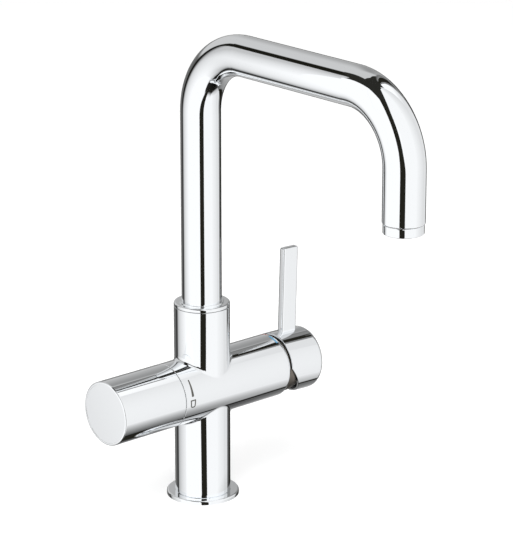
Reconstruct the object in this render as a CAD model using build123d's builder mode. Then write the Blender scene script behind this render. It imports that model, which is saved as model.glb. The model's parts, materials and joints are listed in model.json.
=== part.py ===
from build123d import *
import os
from math import cos, degrees, radians, sin, tan

os.makedirs("parts", exist_ok=True)

# Water filter kitchen tap. Sizes are in millimetres. Z is up, and the origin is on the
# column's axis, at the face of the worktop. The spout points along minus Y. The barrel
# lies along X: the filter knob is at minus X and the mixing lever at plus X.

# Outside of the brass body
column_d = 40.8
column_height = 146.0
barrel_d = 47.0
barrel_z = 84.2
mixer_end = 67.9
filter_end = 34.7
mixer_edge_r = 3.6
filter_edge_r = 0.4
column_edge_r = 0.5
foot_chamfer = 0.5
junction_r = 2.6

# Base flange, shank and fixings under the worktop
flange_d = 53.2
flange_t = 3.0
flange_edge_r = 1.2
flange_play = 0.2
seal_d = 45.0
seal_w = 3.6
seal_t = 2.0
shank_d = 33.0
shank_bore_d = 27.2
shank_grip = 14.0
shank_below = 55.0
pilot_d = 31.2
pilot_length = 5.0
pilot_chamfer = 1.0
worktop_t = 30.0
washer_d = 51.0
rubber_t = 3.0
washer_t = 2.0
washer_play = 0.3
nut_across = 42.0
nut_t = 8.0
nut_chamfer_r = 21.4
nut_chamfer_angle = 30.0

# Hose ports in the roof of the chamber inside the column
chamber_d = 32.0
port_z = 45.0
port_circle_r = 8.6
port_d = 9.0
port_depth = 12.0
passage_d = 6.4
riser_d = 6.0
riser_wall = 2.2
drill_past = 1.0

# Spout tube and its swivel foot
tube_d = 29.2
tube_wall = 1.2
spout_top_z = 339.0
spout_reach = 206.0
bend_r = 48.0
tube_drop = 84.6
tube_end_r = 0.8
tube_grip = 16.0
socket_d = 34.0
socket_depth = 34.0
foot_bore_d = 24.0
foot_lift = 0.5
foot_lead = 0.6
ring_wire_d = 3.2
foot_ring_below = (29.8, 24.8)
swivel_range = 75.0
glide_d = 36.8
glide_depth = 3.0
collar_t = 2.4
collar_edge_r = 1.3
trim_w = 1.5
trim_t = 0.8
lock_d = 5.0
lock_tip_d = 4.0
lock_lead = 0.3
lock_below = 20.0
lock_groove_depth = 2.0
lock_head_set = 0.4

# Separate way for the filtered water
nipple_d = 8.0
nipple_bore_d = 4.4
nipple_thread_d = 10.0
nipple_thread = 8.0
nipple_hex = 14.0
nipple_hex_t = 3.0
nipple_length = 11.0
nipple_ring_d = 1.2
cuff_lift = 0.4
cuff_shelf = 1.0
inner_tube_d = 8.0
inner_tube_wall = 1.0
cuff_d = 13.0
cuff_grip = 6.0

# Outlet
skirt_d = 28.0
skirt_h = 6.6
skirt_gap = 0.3
skirt_edge_r = 0.6
outlet_thread_d = 24.0
outlet_ring_h = 13.6
outlet_ring_set = 0.4
outlet_step = 1.0
outlet_thread_h = 9.0
outlet_lip_w = 1.7
outlet_lip_t = 1.0
core_h = 9.4
core_hole_d = 1.5
core_row_r = (6.3, 8.6)
core_row_holes = (16, 22)
nozzle_d = 8.2
nozzle_bore_d = 5.6
nozzle_cup_d = 10.6
nozzle_floor_t = 2.0
outlet_washer_t = 2.0

# Valve for the filtered water
valve_floor = 6.0
valve_pocket = 2.0
seat_hole_d = 5.0
valve_bore_d = 19.0
sleeve_wall = 1.1
sleeve_play = 0.3
sleeve_length = 12.0
seat_washer_t = 1.5
seat_washer_w = 1.2
valve_disc_t = 3.4
valve_mover_t = 3.0
valve_hole_d = 4.6
valve_hole_at = 4.6
mover_bar = 5.8
dog_w = 2.4
dog_t = 1.0
spindle_foot_t = 3.0
spindle_d = 9.8
spline_d = 8.0
spline_length = 10.5
spline_teeth = 12
spline_cut = 0.8
valve_thread_d = 20.8
valve_washer_t = 1.0
valve_hex = 24.0
valve_hex_t = 5.0
valve_neck_d = 15.0
valve_neck = 6.8
valve_flange_lip = 0.5
spindle_ring_d = 1.4
clip_t = 0.8
clip_gap = 5.0

# Filter knob
knob_length = 56.5
seam_gap = 0.4
knob_wall = 2.0
knob_edge_r = 1.2
knob_seam_r = 0.4
end_plate_t = 2.4
end_plate_set = 0.1
ledge_w = 2.0
ledge_t = 2.0
web_t = 4.0
adapter_d = 18.0
adapter_flange_d = 23.0
adapter_flange_t = 2.0
adapter_floor_t = 3.0
adapter_gap = 0.6
guide_t = 6.0
knob_screw_d = 4.0
knob_screw_head_d = 7.6
knob_screw_head_t = 2.6
knob_screw_grip = 8.0
screw_head_set = 0.4
screw_play = 0.2
screw_hex = 2.5
screw_hex_depth = 1.8

# Mixing cartridge
pivot_out = 4.1
arm_length = 14.4
ball_d = 4.4
arm_d = 3.4
cartridge_d = 35.0
base_t = 4.0
disc_t = 3.4
mover_t = 3.55
mover_d = 22.0
carrier_t = 3.0
ball_cover = 0.6
ball_play = 0.2
rotor_gap = 0.3
roof_gap = 0.2
mixing_slot_l = 16.0
mixing_slot_w = 7.4
carrier_flat = 17.6
leg_flat = 18.0
leg_length = 2.2
port_pitch = 7.45
port_drop = 5.0
outlet_rise = 8.0
port_seal_d = 1.6
peg_d = 3.6
peg_length = 2.6
peg_y = 13.2
shell_wall = 1.7
shell_roof = 1.3
neck_d = 30.0
neck_bore_d = 25.2
neck_lip = 1.8
neck_lip_w = 1.5
neck_beyond = 5.0
pin_d = 3.0
stem_across = 8.0
stem_inner = 6.0
stem_outer = 24.0
stem_slot = 18.0
ring_nut_d = 37.6
ring_nut_notch = 5.0
ring_nut_notch_depth = 3.0
ring_nut_notches = 4
tilt_range = 24.0

# Lever handle and the dome under it
lean = 1.9
rim_back = 3.8
cap_length = 31.6
cap_wall = 1.3
cap_end_t = 2.8
cap_edge_r = 3.3
rim_edge_r = 0.5
cut_angle = 33.4
cut_height = 1.8
blade_out = 10.5
blade_w = 14.4
blade_t = 5.56
blade_top = 88.6
blade_edge_r = 1.6
socket_boss_d = 15.0
socket_boss = 11.0
grub_d = 5.0
grub_length = 5.6
grub_hex = 2.5
grub_hex_depth = 2.0
plug_t = 2.2
dome_gap = 0.4
dome_wall = 1.4
dome_foot_t = 1.5
dome_beyond = 7.0

# Clearances: slip between fixed neighbours, run between turning ones, all on the radius
slip = 0.05
run = 0.1
face_gap = 0.05

# Worked out from the sizes above
column_r = column_d / 2
barrel_r = barrel_d / 2
tube_r = tube_d / 2
socket_r = socket_d / 2
shank_r = shank_d / 2
collar_z = column_height + seam_gap
collar_top_z = collar_z + collar_t
socket_floor_z = column_height - socket_depth
nipple_top_z = socket_floor_z + nipple_length
tube_foot_z = column_height - tube_grip
tube_end_z = spout_top_z - tube_drop
lock_z = column_height - lock_below
foot_bottom_z = socket_floor_z + foot_lift
foot_r = socket_r - run
knob_start = filter_end + seam_gap
knob_end = filter_end + knob_length
knob_inner_r = barrel_r - knob_wall
cap_inner_r = barrel_r - cap_wall

pivot_x = mixer_end + pivot_out
ball_x = pivot_x - arm_length * cos(radians(lean))
carrier_top = ball_x + ball_cover
carrier_start = carrier_top - carrier_t
mover_start = carrier_start - mover_t
disc_start = mover_start - face_gap - disc_t
mixer_floor = disc_start - base_t
rotor_start = carrier_top + rotor_gap
shell_cavity_end = rotor_start + roof_gap
shoulder_x = shell_cavity_end + shell_roof
neck_end = pivot_x + neck_beyond
cartridge_r = cartridge_d / 2
cavity_r = cartridge_r - shell_wall
disc_travel = arm_length * (sin(radians(lean + tilt_range)) - sin(radians(lean)))
ball_rise = arm_length * sin(radians(lean))
carrier_shift = ball_rise - disc_travel / 2

# Working planes: each has its own Z along the axis that the pieces are turned about
upright = Plane.XY
mixer_side = Plane(origin=(0, 0, barrel_z), x_dir=(0, 1, 0), z_dir=(1, 0, 0))
filter_side = Plane(origin=(0, 0, barrel_z), x_dir=(0, -1, 0), z_dir=(-1, 0, 0))
handle_side = Plane(
    origin=(pivot_x, 0, barrel_z),
    x_dir=(0, 1, 0),
    z_dir=(cos(radians(lean)), 0, -sin(radians(lean))),
)
handle_profile = Plane(
    origin=handle_side.origin,
    x_dir=handle_side.z_dir,
    z_dir=-handle_side.x_dir,
)


def spin_plane(plane):
    """The half plane for a turned outline: X is the radius and Y runs along the plane's axis."""
    return Plane(origin=plane.origin, x_dir=plane.x_dir, z_dir=-plane.y_dir)


def turned(plane, outline):
    """A turned piece from a closed outline of (radius, distance) points."""
    with BuildPart() as piece:
        with BuildSketch(spin_plane(plane)):
            with BuildLine():
                Polyline(*outline, close=True)
            make_face()
        revolve(axis=Axis(plane.origin, plane.z_dir))
    return piece.part


def ring(plane, outer_r, inner_r, start, end):
    """A plain ring between two distances along the plane's axis."""
    outline = ((inner_r, start), (outer_r, start), (outer_r, end), (inner_r, end))
    return turned(plane, outline)


def disc(plane, radius, start, end):
    """A plain disc between two distances along the plane's axis."""
    return ring(plane, radius, 0, start, end)


def o_ring(plane, middle_r, wire_r, at):
    """A rubber ring of round wire."""
    with BuildPart() as piece:
        with BuildSketch(spin_plane(plane)):
            with Locations((middle_r, at)):
                Circle(wire_r)
        revolve(axis=Axis(plane.origin, plane.z_dir))
    return piece.part


def bore(plane, radius, start, end, *places):
    """Drill the part in hand along the plane's axis, at each place."""
    with BuildSketch(plane.offset(start)) as mouth:
        with Locations(*(places or ((0, 0),))):
            Circle(radius)
    extrude(mouth.sketch, amount=end - start, mode=Mode.SUBTRACT)


def groove(plane, outer_r, inner_r, start, width):
    """Turn a square groove into the part in hand, round the plane's axis."""
    with BuildSketch(plane.offset(start)) as section:
        Circle(outer_r)
        Circle(inner_r, mode=Mode.SUBTRACT)
    extrude(section.sketch, amount=width, mode=Mode.SUBTRACT)


def hex_socket(plane, at, across, depth):
    """Sink a socket for a hexagon key into a screw's head."""
    with BuildSketch(plane.offset(at)) as key:
        RegularPolygon(across / 2, 6, major_radius=False)
    extrude(key.sketch, amount=-depth, mode=Mode.SUBTRACT)


def circles_at(part, axis, index):
    """The round edges of one end of a part."""
    return part.edges().filter_by(GeomType.CIRCLE).group_by(axis)[index]


def save(piece, name):
    piece.label = name
    export_step(piece, f"parts/{name}.step")


# Brass body: the column and the barrel are one casting
hot_port, filter_port, cold_port = [
    (place.position.X, place.position.Y)
    for place in PolarLocations(port_circle_r, 3, start_angle=60).local_locations
]
passage_r = passage_d / 2
riser_r = riser_d / 2
port_r = port_d / 2
outlet_x = nipple_thread_d / 2 + riser_r + riser_wall
inlet_start = hot_port[0] - riser_r - drill_past
outlet_start = outlet_x - riser_r - drill_past
inlet_places = ((-port_pitch, -port_drop), (port_pitch, -port_drop))
outlet_place = (0, outlet_rise)
peg_places = ((-peg_y, 0), (peg_y, 0))
back_side = Plane(origin=(0, 0, lock_z), x_dir=(-1, 0, 0), z_dir=(0, 1, 0))
valve_thread_r = valve_thread_d / 2
valve_bore_r = valve_bore_d / 2

with BuildPart() as body:
    with BuildSketch(Plane.XY.offset(flange_t)):
        Circle(column_r)
    extrude(amount=column_height - flange_t)
    with BuildSketch(mixer_side.offset(-filter_end)):
        Circle(barrel_r)
    extrude(amount=mixer_end + filter_end)
    junctions = body.edges().filter_by(
        lambda edge: edge.geom_type not in (GeomType.CIRCLE, GeomType.LINE)
    )
    fillet(junctions, junction_r)
    fillet(circles_at(body, Axis.X, -1), mixer_edge_r)
    fillet(circles_at(body, Axis.X, 0), filter_edge_r)
    fillet(circles_at(body, Axis.Z, -1), column_edge_r)
    chamfer(circles_at(body, Axis.Z, 0), foot_chamfer)
    bore(upright, socket_r, socket_floor_z, column_height)
    bore(upright, glide_d / 2, column_height - glide_depth, column_height)
    bore(upright, shank_r + slip, flange_t, shank_grip)
    bore(upright, chamber_d / 2, shank_grip, port_z)
    with BuildSketch(Plane.XY.offset(port_z)):
        with PolarLocations(port_circle_r, 3, start_angle=60):
            Circle(port_r)
    extrude(amount=port_depth, mode=Mode.SUBTRACT)
    bore(upright, riser_r, port_z, barrel_z - port_drop, hot_port, cold_port)
    bore(mixer_side, passage_r, inlet_start, mixer_floor, *inlet_places)
    bore(mixer_side, passage_r, outlet_start, mixer_floor, outlet_place)
    bore(upright, riser_r, barrel_z + outlet_rise, socket_floor_z, (outlet_x, 0))
    bore(mixer_side, cartridge_r + slip, mixer_floor, shoulder_x)
    bore(mixer_side, ring_nut_d / 2 + slip, shoulder_x, mixer_end)
    bore(mixer_side, peg_d / 2 + slip, mixer_floor - peg_length - slip, mixer_floor, *peg_places)
    bore(filter_side, valve_bore_r, valve_floor, valve_floor + valve_pocket)
    bore(filter_side, valve_thread_r + slip, valve_floor + valve_pocket, filter_end)
    bore(filter_side, seat_hole_d / 2, -nipple_bore_d / 2 - drill_past, valve_floor)
    bore(upright, nipple_bore_d / 2, barrel_z, socket_floor_z)
    bore(upright, nipple_thread_d / 2 + slip, socket_floor_z - nipple_thread, socket_floor_z)
    bore(upright, nipple_bore_d / 2, port_z, barrel_z, filter_port)
    bore(back_side, lock_d / 2 + slip, socket_r - drill_past, column_r)
save(body.part, "body_casting")

# Base flange, with a groove for its seal on the underside
seal_r = seal_d / 2
with BuildPart() as base_flange:
    add(ring(upright, flange_d / 2, shank_r + flange_play, 0, flange_t))
    fillet(circles_at(base_flange, Axis.Z, -1).sort_by(SortBy.RADIUS)[-1], flange_edge_r)
    with BuildSketch(Plane.XY):
        Circle(seal_r + seal_w / 2 + slip)
        Circle(seal_r - seal_w / 2 - slip, mode=Mode.SUBTRACT)
    extrude(amount=seal_t, mode=Mode.SUBTRACT)
save(base_flange.part, "base_flange")
save(ring(upright, seal_r + seal_w / 2, seal_r - seal_w / 2, 0, seal_t), "base_seal")

# Threaded shank, with a plain pilot at its foot, and what clamps it under the worktop
pilot_top = -shank_below + pilot_length
with BuildPart() as shank:
    add(ring(upright, shank_r, shank_bore_d / 2, pilot_top, shank_grip))
    add(ring(upright, pilot_d / 2, shank_bore_d / 2, -shank_below, pilot_top))
    chamfer(circles_at(shank, Axis.Z, 0).sort_by(SortBy.RADIUS)[-1], pilot_chamfer)
save(shank.part, "threaded_shank")
rubber_top = -worktop_t
steel_top = rubber_top - rubber_t
nut_top = steel_top - washer_t
nut_bottom = nut_top - nut_t
washer_bore_r = shank_r + washer_play
rubber_washer = ring(upright, washer_d / 2, washer_bore_r, steel_top, rubber_top)
save(rubber_washer, "rubber_washer")
steel_washer = ring(upright, washer_d / 2, washer_bore_r, nut_top, steel_top)
save(steel_washer, "steel_washer")
with BuildPart() as shank_nut:
    with BuildSketch(Plane.XY.offset(nut_bottom)):
        RegularPolygon(nut_across / 2, 6, major_radius=False)
        Circle(shank_r + slip, mode=Mode.SUBTRACT)
    extrude(amount=nut_t)
    with BuildSketch(spin_plane(upright)):
        with BuildLine():
            chamfer_rise = (nut_across - nut_chamfer_r) * tan(radians(nut_chamfer_angle))
            Polyline(
                (nut_chamfer_r, nut_bottom),
                (nut_across, nut_bottom),
                (nut_across, nut_bottom + chamfer_rise),
                close=True,
            )
        make_face()
    revolve(axis=Axis.Z, mode=Mode.SUBTRACT)
save(shank_nut.part, "shank_nut")

# Spout tube and the filtered water's tube inside it, both bent round the same path
def bent_tube(radius, wall, start_z, end_z):
    """A tube up from the column, over and down to the outlet."""
    with BuildPart() as piece:
        with BuildLine():
            FilletPolyline(
                (0, 0, start_z),
                (0, 0, spout_top_z),
                (0, -spout_reach, spout_top_z),
                (0, -spout_reach, end_z),
                radius=bend_r,
            )
        with BuildSketch(Plane.XY.offset(start_z)):
            Circle(radius)
            Circle(radius - wall, mode=Mode.SUBTRACT)
        sweep()
    return piece.part


with BuildPart() as spout_tube:
    add(bent_tube(tube_r, tube_wall, tube_foot_z, tube_end_z))
    ends = spout_tube.edges().filter_by(GeomType.CIRCLE).filter_by(
        lambda edge: edge.center().Y < tube_r - spout_reach
        and edge.center().Z < tube_end_z + tube_wall
    )
    fillet(ends.sort_by(SortBy.RADIUS)[-1], tube_end_r)
save(spout_tube.part, "spout_tube")

# Swivel foot: a turned brass bush that the tube is brazed into
foot_ring_z = [column_height - below for below in foot_ring_below]
with BuildPart() as spout_foot:
    add(
        turned(
            upright,
            (
                (foot_bore_d / 2, foot_bottom_z),
                (foot_r, foot_bottom_z),
                (foot_r, collar_z),
                (tube_r + slip, collar_z),
                (tube_r + slip, tube_foot_z),
                (foot_bore_d / 2, tube_foot_z),
            ),
        )
    )
    chamfer(circles_at(spout_foot, Axis.Z, 0).sort_by(SortBy.RADIUS)[-1], foot_lead)
    for ring_z in foot_ring_z:
        groove_start = ring_z - ring_wire_d / 2 - slip
        groove(upright, socket_r, foot_r - ring_wire_d, groove_start, ring_wire_d + 2 * slip)
    tip_angle = degrees((lock_tip_d / 2 + run) / (foot_r - lock_groove_depth))
    first_angle = radians(90 - swivel_range - tip_angle)
    stop_plane = Plane(
        origin=(0, 0, 0), x_dir=(cos(first_angle), sin(first_angle), 0), z_dir=(0, 0, 1)
    )
    with BuildSketch(spin_plane(stop_plane)):
        with Locations((foot_r - (lock_groove_depth - run) / 2, lock_z)):
            Rectangle(lock_groove_depth + run, lock_tip_d + 2 * run)
    revolve(
        axis=Axis.Z, revolution_arc=2 * (swivel_range + tip_angle), mode=Mode.SUBTRACT
    )
save(spout_foot.part, "spout_foot")

with BuildPart() as foot_rings:
    for ring_z in foot_ring_z:
        add(o_ring(upright, foot_r - ring_wire_d / 2, ring_wire_d / 2, ring_z))
save(foot_rings.part, "foot_o_rings")

# Glide ring between the column and the swivel foot
glide_ring = ring(
    upright, glide_d / 2 - slip, socket_r, column_height - glide_depth, collar_z - run
)
save(glide_ring, "glide_ring")

# Collar and the small trim ring round the foot of the tube
with BuildPart() as collar:
    add(ring(upright, column_r, tube_r + slip, collar_z, collar_top_z))
    fillet(circles_at(collar, Axis.Z, -1).sort_by(SortBy.RADIUS)[-1], collar_edge_r)
save(collar.part, "spout_collar")
with BuildPart() as trim_ring:
    add(ring(upright, tube_r + trim_w, tube_r + slip, collar_top_z, collar_top_z + trim_t))
    fillet(circles_at(trim_ring, Axis.Z, -1).sort_by(SortBy.RADIUS)[-1], trim_t / 2)
save(trim_ring.part, "tube_trim_ring")

# Locking screw at the back of the column: its tip runs in the foot's stop groove
tip_r = foot_r - lock_groove_depth + 2 * run
head_r = column_r - lock_head_set
with BuildPart() as lock_screw:
    thread_start = socket_r + lock_lead
    outline = (
        (0, tip_r),
        (lock_tip_d / 2 - run, tip_r),
        (lock_tip_d / 2 - run, thread_start),
        (lock_d / 2, thread_start),
        (lock_d / 2, head_r),
        (0, head_r),
    )
    add(turned(back_side, outline))
    hex_socket(back_side, head_r, grub_hex, grub_hex_depth)
save(lock_screw.part, "spout_lock_screw")

# Centre nipple: the filtered water's own way from the body to the turning tube
nipple_r = nipple_d / 2
hex_top = socket_floor_z + nipple_hex_t
nipple_ring_z = hex_top + (nipple_top_z - hex_top) / 2
groove_r = nipple_r - nipple_ring_d
with BuildPart() as centre_nipple:
    bottom = socket_floor_z - nipple_thread
    add(disc(upright, nipple_thread_d / 2, bottom, socket_floor_z))
    add(disc(upright, nipple_r, socket_floor_z, nipple_top_z))
    with BuildSketch(Plane.XY.offset(socket_floor_z)):
        RegularPolygon(nipple_hex / 2, 6, major_radius=False)
    extrude(amount=nipple_hex_t)
    bore(upright, nipple_bore_d / 2, bottom, nipple_top_z)
    groove_start = nipple_ring_z - nipple_ring_d / 2 - slip
    groove(upright, nipple_r + run, groove_r, groove_start, nipple_ring_d + 2 * slip)
save(centre_nipple.part, "centre_nipple")
nipple_wire_r = nipple_ring_d / 2
nipple_ring = o_ring(upright, groove_r + nipple_wire_r, nipple_wire_r, nipple_ring_z)
save(nipple_ring, "nipple_o_ring")

inner_r = inner_tube_d / 2
cuff_start = hex_top + cuff_lift
tube_seat_z = nipple_top_z + cuff_shelf
cuff_end = tube_seat_z + cuff_grip
cuff = turned(
    upright,
    (
        (nipple_r + run, cuff_start),
        (cuff_d / 2, cuff_start),
        (cuff_d / 2, cuff_end),
        (inner_r + slip, cuff_end),
        (inner_r + slip, tube_seat_z),
        (nipple_r + run, tube_seat_z),
    ),
)
save(cuff, "inner_tube_cuff")

# Outlet: brazed ring with the thread, and the aerator screwed into it
outlet = Plane(origin=(0, -spout_reach, 0), x_dir=(1, 0, 0), z_dir=(0, 0, 1))
thread_r = outlet_thread_d / 2
tube_inner_r = tube_r - tube_wall
outlet_ring_z = tube_end_z + outlet_ring_set
outlet_ring_top = outlet_ring_z + outlet_ring_h
skirt_top = tube_end_z - skirt_gap
outlet_z = skirt_top - skirt_h
housing_top = skirt_top + outlet_thread_h
core_r = thread_r - outlet_lip_w
lip_top = outlet_z + outlet_lip_t
washer_top = housing_top + outlet_washer_t
washer_inner_r = core_r - outlet_step
outlet_ring = turned(
    outlet,
    (
        (thread_r + slip, outlet_ring_z),
        (tube_inner_r - slip, outlet_ring_z),
        (tube_inner_r - slip, outlet_ring_top),
        (washer_inner_r, outlet_ring_top),
        (washer_inner_r, washer_top),
        (thread_r + slip, washer_top),
    ),
)
save(outlet_ring, "outlet_thread_ring")

with BuildPart() as aerator_housing:
    add(
        turned(
            outlet,
            (
                (core_r - outlet_step, outlet_z),
                (skirt_d / 2, outlet_z),
                (skirt_d / 2, skirt_top),
                (thread_r, skirt_top),
                (thread_r, housing_top),
                (core_r + slip, housing_top),
                (core_r + slip, lip_top),
                (core_r - outlet_step, lip_top),
            ),
        )
    )
    rims = aerator_housing.edges().filter_by(GeomType.CIRCLE).sort_by(SortBy.RADIUS)[-2:]
    fillet(rims, skirt_edge_r)
save(aerator_housing.part, "aerator_housing")

nozzle_r = nozzle_d / 2
core_top = lip_top + core_h
with BuildPart() as aerator_core:
    add(ring(outlet, core_r, nozzle_r + slip, lip_top, core_top))
    for row_r, row_count in zip(core_row_r, core_row_holes):
        with BuildSketch(outlet.offset(lip_top)):
            with PolarLocations(row_r, row_count):
                Circle(core_hole_d / 2)
        extrude(amount=core_h, mode=Mode.SUBTRACT)
save(aerator_core.part, "aerator_core")
save(ring(outlet, thread_r - slip, washer_inner_r, housing_top, washer_top), "aerator_washer")

inner_end_z = core_top + nozzle_floor_t
nozzle = turned(
    outlet,
    (
        (nozzle_bore_d / 2, lip_top),
        (nozzle_r, lip_top),
        (nozzle_r, core_top),
        (nozzle_cup_d / 2, core_top),
        (nozzle_cup_d / 2, inner_end_z + cuff_grip),
        (inner_r + slip, inner_end_z + cuff_grip),
        (inner_r + slip, inner_end_z),
        (nozzle_bore_d / 2, inner_end_z),
    ),
)
save(nozzle, "filtered_nozzle")
save(bent_tube(inner_r, inner_tube_wall, tube_seat_z, inner_end_z), "inner_water_tube")

# Valve for the filtered water: ceramic discs in a brass headpart
sleeve_r = valve_bore_r - sleeve_play
disc_r = sleeve_r - sleeve_wall - run
fixed_start = valve_floor + seat_washer_t
mover_at = fixed_start + valve_disc_t + face_gap
foot_start = mover_at + valve_mover_t
foot_end = foot_start + spindle_foot_t
sleeve_end = valve_floor + sleeve_length
sleeve_start = valve_floor + seat_washer_t / 2
hex_start = filter_end + valve_washer_t
hex_end = hex_start + valve_hex_t
neck_top = hex_end + valve_neck
spindle_r = spindle_d / 2
spline_end = neck_top + spline_length
seat_washer = ring(filter_side, disc_r, disc_r - seat_washer_w, valve_floor, fixed_start)
save(seat_washer, "valve_seat_washer")

# The fixed disc has two holes, which the moving disc's bar covers when the knob is shut
with BuildPart() as valve_fixed:
    fixed_end = fixed_start + valve_disc_t
    valve_holes = ((0, valve_hole_at), (0, -valve_hole_at))
    add(disc(filter_side, disc_r, fixed_start, fixed_end))
    bore(filter_side, valve_hole_d / 2, fixed_start, fixed_end, *valve_holes)
save(valve_fixed.part, "valve_fixed_disc")
with BuildPart() as valve_mover:
    with BuildSketch(filter_side.offset(mover_at)):
        Circle(disc_r)
        Rectangle(mover_bar, 2 * disc_r, mode=Mode.INTERSECT)
    extrude(amount=valve_mover_t)
    with BuildSketch(filter_side.offset(foot_start)):
        Rectangle(dog_w + 2 * slip, 2 * disc_r)
    extrude(amount=-dog_t - slip, mode=Mode.SUBTRACT)
save(valve_mover.part, "valve_moving_disc")

with BuildPart() as headpart:
    add(
        turned(
            filter_side,
            (
                (disc_r + run, sleeve_start),
                (sleeve_r, sleeve_start),
                (sleeve_r, sleeve_end),
                (valve_thread_r, sleeve_end),
                (valve_thread_r, hex_start),
                (valve_neck_d / 2, hex_start),
                (valve_neck_d / 2, neck_top),
                (spindle_r + run, neck_top),
                (spindle_r + run, foot_end + run),
                (disc_r + run, foot_end + run),
            ),
        )
    )
    with BuildSketch(filter_side.offset(hex_start)):
        RegularPolygon(valve_hex / 2, 6, major_radius=False)
        Circle(valve_neck_d / 2, mode=Mode.SUBTRACT)
    extrude(amount=valve_hex_t)
    with BuildSketch(filter_side.offset(mover_at)):
        Rectangle(2 * valve_bore_r, sleeve_r)
    extrude(amount=valve_mover_t, mode=Mode.SUBTRACT)
save(headpart.part, "valve_headpart")
valve_washer = ring(
    filter_side, valve_hex / 2 - valve_flange_lip, valve_thread_r + slip, filter_end, hex_start
)
save(valve_washer, "headpart_washer")

ring_wire_r = spindle_ring_d / 2
ring_groove_r = spindle_r - spindle_ring_d
ring_at = (sleeve_end + filter_end) / 2
clip_start = neck_top + run
screw_r = knob_screw_d / 2
collar_end = clip_start + clip_t + adapter_gap / 2
with BuildPart() as spindle:
    add(disc(filter_side, disc_r, foot_start, foot_end))
    with BuildSketch(filter_side.offset(foot_start)):
        Circle(disc_r)
        Rectangle(dog_w, 2 * disc_r, mode=Mode.INTERSECT)
    extrude(amount=-dog_t)
    add(disc(filter_side, spindle_r, foot_end, collar_end))
    with BuildSketch(filter_side.offset(foot_end)):
        Circle(spline_d / 2)
        with PolarLocations(spline_d / 2, spline_teeth):
            Rectangle(spline_cut, spline_cut, mode=Mode.SUBTRACT)
    extrude(amount=spline_end - foot_end)
    groove_start = ring_at - ring_wire_r - slip
    groove_end_r = spindle_r + run
    groove(filter_side, groove_end_r, ring_groove_r, groove_start, spindle_ring_d + 2 * slip)
    groove(filter_side, groove_end_r, spindle_r - clip_t, clip_start, clip_t)
    tapped_start = spline_end - knob_screw_grip - drill_past
    bore(filter_side, screw_r + slip, tapped_start, spline_end)
save(spindle.part, "valve_spindle")
save(o_ring(filter_side, ring_groove_r + ring_wire_r, ring_wire_r, ring_at), "spindle_o_ring")
with BuildPart() as spindle_clip:
    with BuildSketch(filter_side.offset(clip_start)):
        Circle(valve_neck_d / 2 - clip_t)
        Circle(spindle_r - clip_t + slip, mode=Mode.SUBTRACT)
        with Locations((0, -spindle_r)):
            Rectangle(clip_gap, spindle_d, mode=Mode.SUBTRACT)
    extrude(amount=clip_t)
save(spindle_clip.part, "spindle_clip")

# Filter knob: a turned sleeve with a web inside, closed by a plate
plate_start = knob_end - end_plate_set - end_plate_t
ledge_start = plate_start - ledge_t
screw_seat = spline_end + adapter_floor_t
adapter_end = screw_seat + knob_screw_head_t + screw_head_set
web_start = adapter_end - web_t
adapter_start = clip_start + clip_t + adapter_gap
with BuildPart() as knob:
    add(ring(filter_side, barrel_r, knob_inner_r, knob_start, knob_end))
    add(ring(filter_side, knob_inner_r, knob_inner_r - ledge_w, ledge_start, plate_start))
    add(ring(filter_side, knob_inner_r, adapter_d / 2 + slip, web_start, adapter_end))
    rims = knob.edges().filter_by(GeomType.CIRCLE).filter_by(
        lambda edge: edge.radius > knob_inner_r + slip
    )
    fillet(rims.sort_by(Axis.X)[0], knob_edge_r)
    fillet(rims.sort_by(Axis.X)[-1], knob_seam_r)
save(knob.part, "filter_knob")
end_plate = disc(filter_side, knob_inner_r - slip, plate_start, knob_end - end_plate_set)
save(end_plate, "knob_end_plate")

with BuildPart() as adapter:
    add(disc(filter_side, adapter_d / 2, adapter_start, adapter_end))
    flange_start = web_start - adapter_flange_t
    add(disc(filter_side, adapter_flange_d / 2, flange_start, web_start))
    bore(filter_side, spline_d / 2 + slip, adapter_start, spline_end)
    bore(filter_side, screw_r + screw_play, spline_end, screw_seat)
    bore(filter_side, knob_screw_head_d / 2 + screw_play, screw_seat, adapter_end)
save(adapter.part, "spline_adapter")

with BuildPart() as knob_screw:
    add(disc(filter_side, screw_r, spline_end - knob_screw_grip, screw_seat))
    screw_top = screw_seat + knob_screw_head_t
    add(disc(filter_side, knob_screw_head_d / 2, screw_seat, screw_top))
    hex_socket(filter_side, screw_top, screw_hex, screw_hex_depth)
save(knob_screw.part, "knob_screw")

with BuildPart() as guide:
    with BuildSketch(filter_side.offset(filter_end)):
        Circle(knob_inner_r - run)
        RegularPolygon(valve_hex / 2 + slip, 6, major_radius=False, mode=Mode.SUBTRACT)
    extrude(amount=guide_t)
save(guide.part, "knob_guide_ring")

# Mixing cartridge
with BuildPart() as cartridge_base:
    add(disc(mixer_side, cartridge_r, mixer_floor, disc_start))
    with BuildSketch(mixer_side.offset(mixer_floor - peg_length)):
        with Locations(*peg_places):
            Circle(peg_d / 2)
    extrude(amount=peg_length)
    bore(mixer_side, passage_r, mixer_floor, disc_start, *inlet_places, outlet_place)
    seal_depth = port_seal_d
    seal_mid_r = passage_r + port_seal_d / 2 + 2 * slip
    bore(
        mixer_side,
        seal_mid_r + port_seal_d / 2 + 2 * slip,
        mixer_floor,
        mixer_floor + seal_depth,
        *inlet_places,
        outlet_place,
    )
save(cartridge_base.part, "cartridge_base")
with BuildPart() as port_seals:
    with BuildSketch(mixer_side.offset(mixer_floor)):
        with Locations(*inlet_places, outlet_place):
            Circle(seal_mid_r + port_seal_d / 2)
            Circle(seal_mid_r - port_seal_d / 2, mode=Mode.SUBTRACT)
    extrude(amount=seal_depth)
save(port_seals.part, "cartridge_port_seals")

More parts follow.
